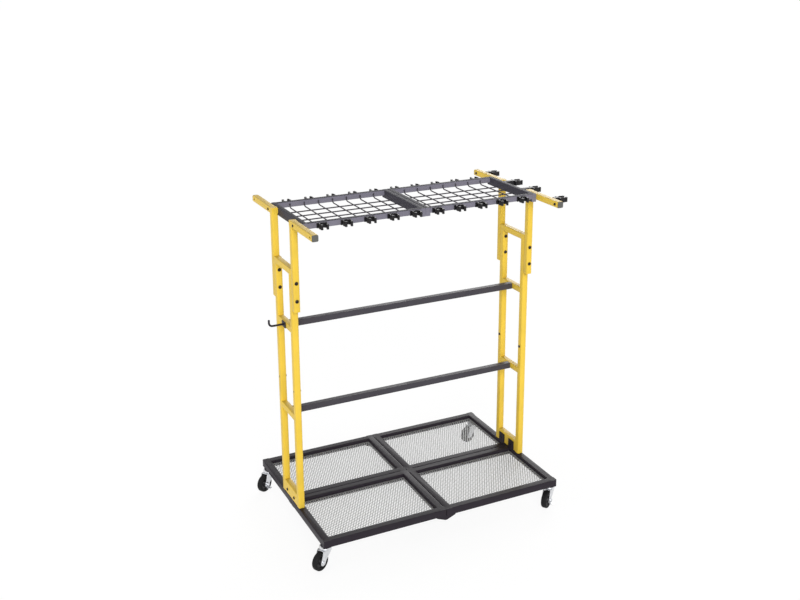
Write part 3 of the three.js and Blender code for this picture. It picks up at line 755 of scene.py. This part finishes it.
class TopGrid(bpy.types.Operator):
    """Builds the rails, clips and wires of the top grid"""

    bl_idname = "rack.top_grid"
    bl_label = "Top grid"

    def execute(self, context):
        clip = clip_mesh()
        for side, sign in SIDES:
            self.rails(side)
            self.clips(side, sign, clip)
            self.wires(side)
        return {"FINISHED"}

    def rails(self, side):
        node, name = "grid_frame_" + side, "grid_rails_" + side
        low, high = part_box(node)
        front, back = BASE_Y - GRID_DEPTH / 2, BASE_Y + GRID_DEPTH / 2
        inset = RAIL - 0.4 * MM
        rail_z, end_z = high.z - RAIL_HEIGHT / 2, (low.z + high.z) / 2
        shape = Shape()
        for x in (low.x + RAIL / 2, high.x - RAIL / 2):
            shape.add(bar_between((x, front, end_z), (x, back, end_z), RAIL, high.z - low.z))
        for y in (front + RAIL / 2, back - RAIL / 2):
            shape.add(bar_between((low.x + inset, y, rail_z), (high.x - inset, y, rail_z), RAIL, RAIL_HEIGHT))
        piece(name, mesh_of(name, shape, 50), "rail_coat", replaced=[node])

    def clips(self, side, sign, clip):
        rail_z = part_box("grid_frame_" + side)[1].z - RAIL_HEIGHT / 2
        rail_y = GRID_DEPTH / 2 - 0.1 * MM
        for row, way in WAYS:
            for index in range(CLIPS):
                x = BASE_X + sign * (index + 0.5) * CLIP_PITCH
                place = axes((x, BASE_Y + way * rail_y, rail_z - CLIP_DROP), (0, way, 0), (-way, 0, 0), UP)
                name = f"rail_clip_{row}_{side}_{index + 1}"
                eased(piece(name, clip, "black_plastic", place=place), 0.6 * MM)

    def wires(self, side):
        node, name = "wire_grid_" + side, "welded_wires_" + side
        low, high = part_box(node)
        weld = 0.6 * MM
        long_z = low.z + WIRE_RADIUS
        cross_z = long_z + 2 * WIRE_RADIUS - weld
        shape = Shape()
        for index in range(LONG_WIRES):
            y = BASE_Y + (index - (LONG_WIRES - 1) / 2) * LONG_WIRE_PITCH
            shape.add(tube([(low.x, y, long_z), (high.x, y, long_z)], WIRE_RADIUS))
        reach, tip = (high.y - low.y) / 2 - WIRE_RADIUS, high.z - 0.3 * MM
        for index in range(CROSS_WIRES):
            x = (low.x + high.x) / 2 + (index - (CROSS_WIRES - 1) / 2) * CROSS_WIRE_PITCH
            near = arc(WIRE_BEND - reach, cross_z + WIRE_BEND, WIRE_BEND, pi, 1.5 * pi, 8)
            far = arc(reach - WIRE_BEND, cross_z + WIRE_BEND, WIRE_BEND, -pi / 2, 0, 8)
            path = [(-reach, tip), *near, *far, (reach, tip)]
            shape.add(tube([(x, BASE_Y + y, z) for y, z in path], WIRE_RADIUS))
        piece(name, mesh_of(name, shape, 50), "bar_coat", replaced=[node])


FORK_FACE = 17.7 * MM


def joint(name):
    """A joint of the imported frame."""
    return next(entry for entry in frame["joints"] if entry["name"] == name)


class Casters(bpy.types.Operator):
    """Builds the swivel casters"""

    bl_idname = "rack.casters"
    bl_label = "Casters"

    def execute(self, context):
        for corner in CORNERS:
            swivel = Vector(joint("swivel_turn_" + corner)["pos_m"])
            roll = joint("wheel_roll_" + corner)
            hub, axle = Vector(roll["pos_m"]), Vector(roll["axis"])
            ahead = axle.cross(UP).normalized()
            swivel.z = 0
            stand, wheel = axes(swivel, ahead, axle, UP), axes(hub, ahead, UP, -axle)
            self.stem(corner, stand)
            self.fork(corner, stand, (hub - swivel).dot(ahead), hub.z)
            self.wheel(corner, wheel)
            self.axle(corner, hub, axle)
            if corner in BRAKED:
                self.lever(corner, hub, ahead, axle)
        return {"FINISHED"}

    def stem(self, corner, stand):
        low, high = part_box("caster_stem_" + corner)
        head, dish, top = 77.1 * MM, 84.4 * MM, 90.7 * MM
        profile = [
            (0, low.z), (8 * MM, low.z), (9 * MM, low.z + 1 * MM), (9 * MM, head), (6 * MM, head), (6 * MM, dish),
            (21 * MM, dish), (23 * MM, dish + 1 * MM), (22.5 * MM, dish + 2.5 * MM), (17 * MM, top - 1.2 * MM),
            (12 * MM, top), (5 * MM, top), (5 * MM, high.z - 1 * MM), (4 * MM, high.z), (0, high.z)]
        name = "swivel_dish_" + corner
        shape = Shape().add(lathe(profile), stand)
        piece(name, mesh_of(name, shape), "zinc_plate", replaced=["caster_stem_" + corner])

    def fork(self, corner, stand, trail, rise):
        sheet, inside, foot = 2.5 * MM, 14.9 * MM, 14 * MM
        front, back, crown = -19.3 * MM, 26.7 * MM, 80 * MM
        leg = [(back, crown), (front + 3 * MM, crown), (front, crown - 3 * MM), (front, crown - 10.5 * MM),
               *arc(trail, rise, foot, pi * 1.02, 2 * pi, 20)]
        boss = lathe([(0, 0), (8.5 * MM, 0), (8 * MM, 0.7 * MM), (0, 0.7 * MM)], 24)
        shape = Shape()
        for sign in (-1, 1):
            upright = axes((0, sign * (inside + sheet / 2), 0), (1, 0, 0), UP, (0, -1, 0))
            shape.add(prism(leg, sheet), stand @ upright)
            shape.add(boss, stand @ facing((trail, sign * (inside + sheet - 0.45 * MM), rise), (0, sign, 0)))
        plate = prism(soft_rectangle(back - front, 2 * inside, 2 * MM), sheet)
        shape.add(plate, stand @ Matrix.Translation(((front + back) / 2, 0, crown - sheet / 2)))
        bore, low, high = 8 * MM, crown - 0.5 * MM, crown + 4 * MM
        race = [(bore, low), (19 * MM, low), (21 * MM, low + 2 * MM), (20.5 * MM, high), (bore, high)]
        shape.add(lathe(rounded(race, 1.2 * MM)), stand)
        name = "fork_" + corner
        eased(piece(name, mesh_of(name, shape), "zinc_plate", "swivel_" + corner, ["caster_fork_" + corner]),
              0.35 * MM)

    def wheel(self, corner, place):
        body = "wheel_" + corner
        radius, half = 37 * MM, 12 * MM
        side = [(radius, half - 4 * MM), (34 * MM, half), (30 * MM, half), (28.5 * MM, half - 1 * MM)]
        tread = rounded([*[(r, -h) for r, h in side][::-1], *side], 2.5 * MM)
        seat = [(26 * MM, half - 3 * MM), (26 * MM, 3 * MM - half)]
        tyre = Shape().add(lathe([*tread, *seat], 64), place)
        name = "tyre_" + corner
        piece(name, mesh_of(name, tyre, 50), "tyre_rubber", body, ["caster_wheel_" + corner])
        web, hub = 4.5 * MM, 14.5 * MM
        rim = half - 2.5 * MM
        side = [(26.2 * MM, rim), (24.5 * MM, rim), (23 * MM, web + 1 * MM), (15 * MM, web),
                (12 * MM, hub - 2 * MM), (10.5 * MM, hub), (4.4 * MM, hub)]
        core = Shape().add(lathe(rounded([*[(r, -h) for r, h in side][::-1], *side], 0.8 * MM), 48), place)
        name = "hub_" + corner
        piece(name, mesh_of(name, core, 35), "black_plastic", body)

    def axle(self, corner, hub, axle):
        near = FORK_FACE
        far = near + (3.3 * MM if corner in BRAKED else 0)
        nut = 3.6 * MM
        shape = Shape().add(pin(4 * MM, -near, far, 24), facing(hub, axle))
        shape.add(screw_head(6.3 * MM, 3.8 * MM), facing(hub - axle * near, -axle))
        shape.add(prism(hexagon(6.4 * MM), nut), facing(hub + axle * (far + nut / 2), axle))
        name = "axle_bolt_" + corner
        eased(piece(name, mesh_of(name, shape), "zinc_plate", "swivel_" + corner, ["caster_axle_" + corner]),
              0.3 * MM)

    def lever(self, corner, hub, ahead, axle):
        sheet, half, drop = 3 * MM, 8 * MM, 15.9 * MM
        eye = arc(0, 0, 9.9 * MM, -0.2, pi + 0.2, 20)
        arm = [(-half, -drop), (half, -drop), (half, -4 * MM), *eye, (-half, -4 * MM)]
        shape = Shape().add(prism(arm, sheet), axes(hub + axle * (FORK_FACE + sheet / 2), ahead, UP, -axle))
        tread = prism(soft_rectangle(2 * half, 15 * MM, 3 * MM), sheet)
        seat = hub + axle * (FORK_FACE + 10 * MM) - UP * (drop - sheet / 2)
        shape.add(tread, axes(seat, ahead, axle, UP))
        name = "brake_pedal_" + corner
        eased(piece(name, mesh_of(name, shape), "zinc_plate", "brake_" + corner, ["brake_lever_" + corner]),
              0.6 * MM)


# The bars measure 25 mm in the photograph, which is more than their CAD nodes
CROSSBAR = 25 * MM
CROSSBAR_GAP = 0.3 * MM


class Crossbars(bpy.types.Operator):
    """Builds the two halves of each crossbar"""

    bl_idname = "rack.crossbars"
    bl_label = "Crossbars"

    def execute(self, context):
        for level in ("upper", "lower"):
            (start, _), (meeting, end) = (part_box(f"crossbar_{level}_{side}") for side, _ in SIDES)
            middle = centre_of(f"crossbar_{level}_right")
            for side, low, high in (("left", start.x, meeting.x - CROSSBAR_GAP), ("right", meeting.x, end.x)):
                ends = [(x, middle.y, middle.z) for x in (low, high)]
                shape = Shape().add(bar_between(*ends, CROSSBAR, CROSSBAR))
                name = f"cross_tube_{level}_{side}"
                made = piece(name, mesh_of(name, shape, 50), "bar_coat", replaced=[f"crossbar_{level}_{side}"])
                made.modifiers.new("Even shading", "WEIGHTED_NORMAL")
        return {"FINISHED"}


# Fasteners: how far they are from the rack's middle, and above the base
FOOT_SCREW_Y = 38.5 * MM
FOOT_SCREW_RISE = 20 * MM
ARM_SCREW_Y = 136.8 * MM
SPARE_BOLT_Y = 81.5 * MM
SPARE_BOLT_RISE = 504 * MM
ARM_END_SCREW_Y = 307 * MM
PLATE_SCREW_X = 22 * MM
POST_TUBE = 25 * MM


class Ends(bpy.types.Operator):
    """Adds the plugs, side clips, hook, bolts and small screws"""

    bl_idname = "rack.ends"
    bl_label = "Ends and fasteners"

    def execute(self, context):
        self.plugs()
        self.side_clips()
        self.hook()
        self.lap_bolts()
        self.screws()
        return {"FINISHED"}

    def plugs(self):
        lip, insert, seat = 2.7 * MM, 14 * MM, 2.5 * MM
        for node in nodes_named("arm_plug_"):
            low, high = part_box(node)
            middle = (low + high) / 2
            face, outward = (low.y, -1) if "front" in node else (high.y, 1)
            shape = Shape()
            for size, corner, start, length in ((25 * MM, 5 * MM, 0, lip), (21 * MM, 2 * MM, seat, insert)):
                place = facing((middle.x, face - outward * (start + length / 2), middle.z), (0, outward, 0))
                shape.add(prism(soft_rectangle(size, size, corner), length), place)
            name = node.replace("arm_plug", "tube_plug")
            eased(piece(name, mesh_of(name, shape), "grey_plastic", replaced=[node]), 1.1 * MM)

    def side_clips(self):
        for node in nodes_named("side_clip_"):
            low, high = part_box(node)
            middle = (low + high) / 2
            place = Matrix.Translation((low.x, middle.y, middle.z))
            mesh = clip_mesh(high.x - low.x - CLIP_REACH)
            name = node.replace("side_clip", "end_clip")
            eased(piece(name, mesh, "black_plastic", replaced=[node], place=place), 0.6 * MM)

    def hook(self):
        low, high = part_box("hose_hook")
        middle = (low + high) / 2
        rod, bend, sheet = 4 * MM, 14 * MM, 3 * MM
        root, tip_x = low.z + 12 * MM, low.x + rod
        path = [(high.x - 1 * MM, root), *arc(tip_x + bend, root + bend, bend, -pi / 2, -pi, 10), (tip_x, high.z)]
        shape = Shape().add(tube([(x, middle.y, z) for x, z in path], rod, 16))
        plate = prism(soft_rectangle(40 * MM, 24 * MM, 4 * MM), sheet)
        shape.add(plate, facing((high.x - sheet / 2, middle.y, root), (-1, 0, 0)))
        name = "hose_holder"
        eased(piece(name, mesh_of(name, shape), "black_powder_coat", replaced=["hose_hook"]), 0.5 * MM)

    def lap_bolts(self):
        head, nut, sunk = 4.4 * MM, 5.9 * MM, 0.2 * MM
        for node in nodes_named("lap_bolt_"):
            low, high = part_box(node)
            middle = (low + high) / 2
            seat, length = low.y + head, high.y - low.y - head - 1 * MM
            shape = Shape().add(screw_head(7.3 * MM, head), facing((middle.x, seat, middle.z), (0, -1, 0)))
            shape.add(pin(4 * MM, 0, length), facing((middle.x, seat - sunk, middle.z), (0, 1, 0)))
            shape.add(prism(hexagon(7.2 * MM), nut), facing((middle.x, high.y - nut / 2, middle.z), (0, 1, 0)))
            name = node.replace("lap_bolt", "post_bolt")
            eased(piece(name, mesh_of(name, shape), "dark_bolt", replaced=[node]), 0.4 * MM)

    def screws(self):
        heads = Shape()
        for side, sign in SIDES:
            low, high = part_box("end_frame_" + side)
            face = low.x if sign < 0 else high.x
            inner = face - sign * POST_TUBE
            for _, way in WAYS:
                foot = (face, BASE_Y + way * FOOT_SCREW_Y, FOOT_Z + FOOT_SCREW_RISE)
                heads.add(screw_head(6.2 * MM, 4 * MM), facing(foot, (sign, 0, 0)))
                arm = (face, BASE_Y + way * ARM_SCREW_Y, ARM_Z)
                heads.add(screw_head(5.5 * MM, 3 * MM), facing(arm, (sign, 0, 0)))
                self.through_screw(heads, (inner, BASE_Y + way * SPARE_BOLT_Y, FOOT_Z + SPARE_BOLT_RISE), sign)
                if side == "right":
                    self.through_screw(heads, (inner, BASE_Y + way * ARM_END_SCREW_Y, ARM_Z), sign)
        for row, _ in WAYS:
            low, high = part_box("joint_plate_" + row)
            middle = (low + high) / 2
            for way in (-1, 1):
                seat = (middle.x + way * PLATE_SCREW_X, middle.y, high.z - 2 * MM)
                heads.add(screw_head(4.6 * MM, 2.6 * MM), facing(seat, (0, 0, -1)))
        piece("small_screws", mesh_of("small_screws", heads), "dark_bolt")

    def through_screw(self, heads, seat, sign):
        """A screw from the rack's inner side, its shank ending just short of the outer side."""
        sunk, length = 0.3 * MM, POST_TUBE + 0.1 * MM
        heads.add(screw_head(5.8 * MM, 4.2 * MM), facing(seat, (-sign, 0, 0)))
        heads.add(pin(3.8 * MM, 0, length), facing((seat[0] - sign * sunk, *seat[1:]), (sign, 0, 0)))


FLOOR_REACH = 90
SENSOR = 36  # in millimetres
# Each lamp's name, the way it stands from the rack, its strength and its spread in degrees
LAMPS = (
    ("Key light", (-0.28, -0.85, 0.45), 1.75, 30),
    ("Side light", (-0.9, 0.1, 0.4), 0.25, 40),
    ("Back light", (0.7, 0.75, 0.4), 1.15, 40),
)


class Stage(bpy.types.Operator):
    """Sets the floor, the light and the camera"""

    bl_idname = "rack.stage"
    bl_label = "Stage"

    def execute(self, context):
        scene = context.scene
        scene.view_settings.view_transform = "Standard"
        self.floor()
        self.world(scene)
        self.lamps(scene)
        self.camera(scene)
        return {"FINISHED"}

    def floor(self):
        finish = Finish("Studio floor", "ShaderNodeMixShader", "Shader")
        matt = finish.node("ShaderNodeBsdfDiffuse", {}, {"Color": (0.95, 0.95, 0.95, 1)})
        glow = finish.node("ShaderNodeEmission", {}, {"Color": (1, 1, 1, 1), "Strength": 1.04})
        finish.feed(finish.shader, {0: 0.85 * finish.shown(), 1: matt, 2: glow})
        mesh = bpy.data.meshes.new("studio_floor")
        corners = [(x * FLOOR_REACH, y * FLOOR_REACH, 0) for x, y in ((-1, -1), (1, -1), (1, 1), (-1, 1))]
        mesh.from_pydata(corners, [], [(0, 1, 2, 3)])
        mesh.materials.append(finish.material)
        made = bpy.data.objects.new("studio_floor", mesh)
        bpy.context.scene.collection.objects.link(made)

    def world(self, scene):
        scene.world = bpy.data.worlds.new("Studio")
        scene.world.use_nodes = True
        nodes = Nodes(scene.world.node_tree)
        level = 0.45 + 0.55 * nodes.shown()
        sky = nodes.node("ShaderNodeBackground", {}, {"Color": (1, 1, 1, 1), "Strength": level})
        nodes.add("ShaderNodeOutputWorld", {}, {"Surface": sky})

    def lamps(self, scene):
        for name, way, power, spread in LAMPS:
            data = bpy.data.lights.new(name, "SUN")
            data.angle = radians(spread)
            data.energy = power
            made = bpy.data.objects.new(name, data)
            made.location = (cad_low + cad_high) / 2 + 3 * Vector(way)
            made.rotation_mode = "QUATERNION"
            made.rotation_quaternion = (-Vector(way)).to_track_quat("-Z", "Y")
            scene.collection.objects.link(made)

    def camera(self, scene):
        wish = scene.rack_camera
        data = bpy.data.cameras.new("Camera")
        data.sensor_width = SENSOR
        data.lens = wish.lens
        data.shift_y = -wish.shift
        made = bpy.data.objects.new("Camera", data)
        scene.collection.objects.link(made)
        level = cos(wish.elevation)
        ahead = Vector((-sin(wish.azimuth) * level, cos(wish.azimuth) * level, -sin(wish.elevation)))
        right = Vector((cos(wish.azimuth), sin(wish.azimuth), 0))
        upward = right.cross(ahead)
        turned_right = cos(wish.roll) * right + sin(wish.roll) * upward
        turned_up = cos(wish.roll) * upward - sin(wish.roll) * right
        corner = Vector((BASE_X - BASE_LENGTH / 2, BASE_Y - BASE_DEPTH / 2, FOOT_Z))
        spot = corner + Vector((wish.across, wish.forward, wish.height))
        made.matrix_world = axes(spot, turned_right, turned_up, -ahead)
        scene.camera = made


class RackPanel(bpy.types.Panel):
    """The rack's steps and settings"""

    bl_idname = "VIEW3D_PT_tool_rack"
    bl_label = "Tool rack"
    bl_space_type = "VIEW_3D"
    bl_region_type = "UI"
    bl_category = "Tool rack"

    def draw(self, context):
        for name in GROUPS:
            group = getattr(context.scene, name)
            box = self.layout.box()
            for key in group.bl_rna.properties.keys():
                if key not in {"rna_type", "name"}:
                    box.prop(group, key)
        for step in STEPS:
            self.layout.operator(step.bl_idname)


GROUPS = {"rack_finishes": RackFinishes, "rack_mesh": RackMesh, "rack_camera": RackCamera}
STEPS = (Stage, Paint, DressFrames, Decks, TopGrid, Casters, Crossbars, Ends)
CLASSES = (*GROUPS.values(), *STEPS, RackPanel)


def register():
    for made in CLASSES:
        bpy.utils.register_class(made)
    for name, group in GROUPS.items():
        setattr(bpy.types.Scene, name, PointerProperty(type=group))


def unregister():
    for name in GROUPS:
        delattr(bpy.types.Scene, name)
    for made in reversed(CLASSES):
        bpy.utils.unregister_class(made)


def main():
    register()
    for step in STEPS:
        package, name = step.bl_idname.split(".")
        getattr(getattr(bpy.ops, package), name)()


if __name__ == "__main__":
    main()
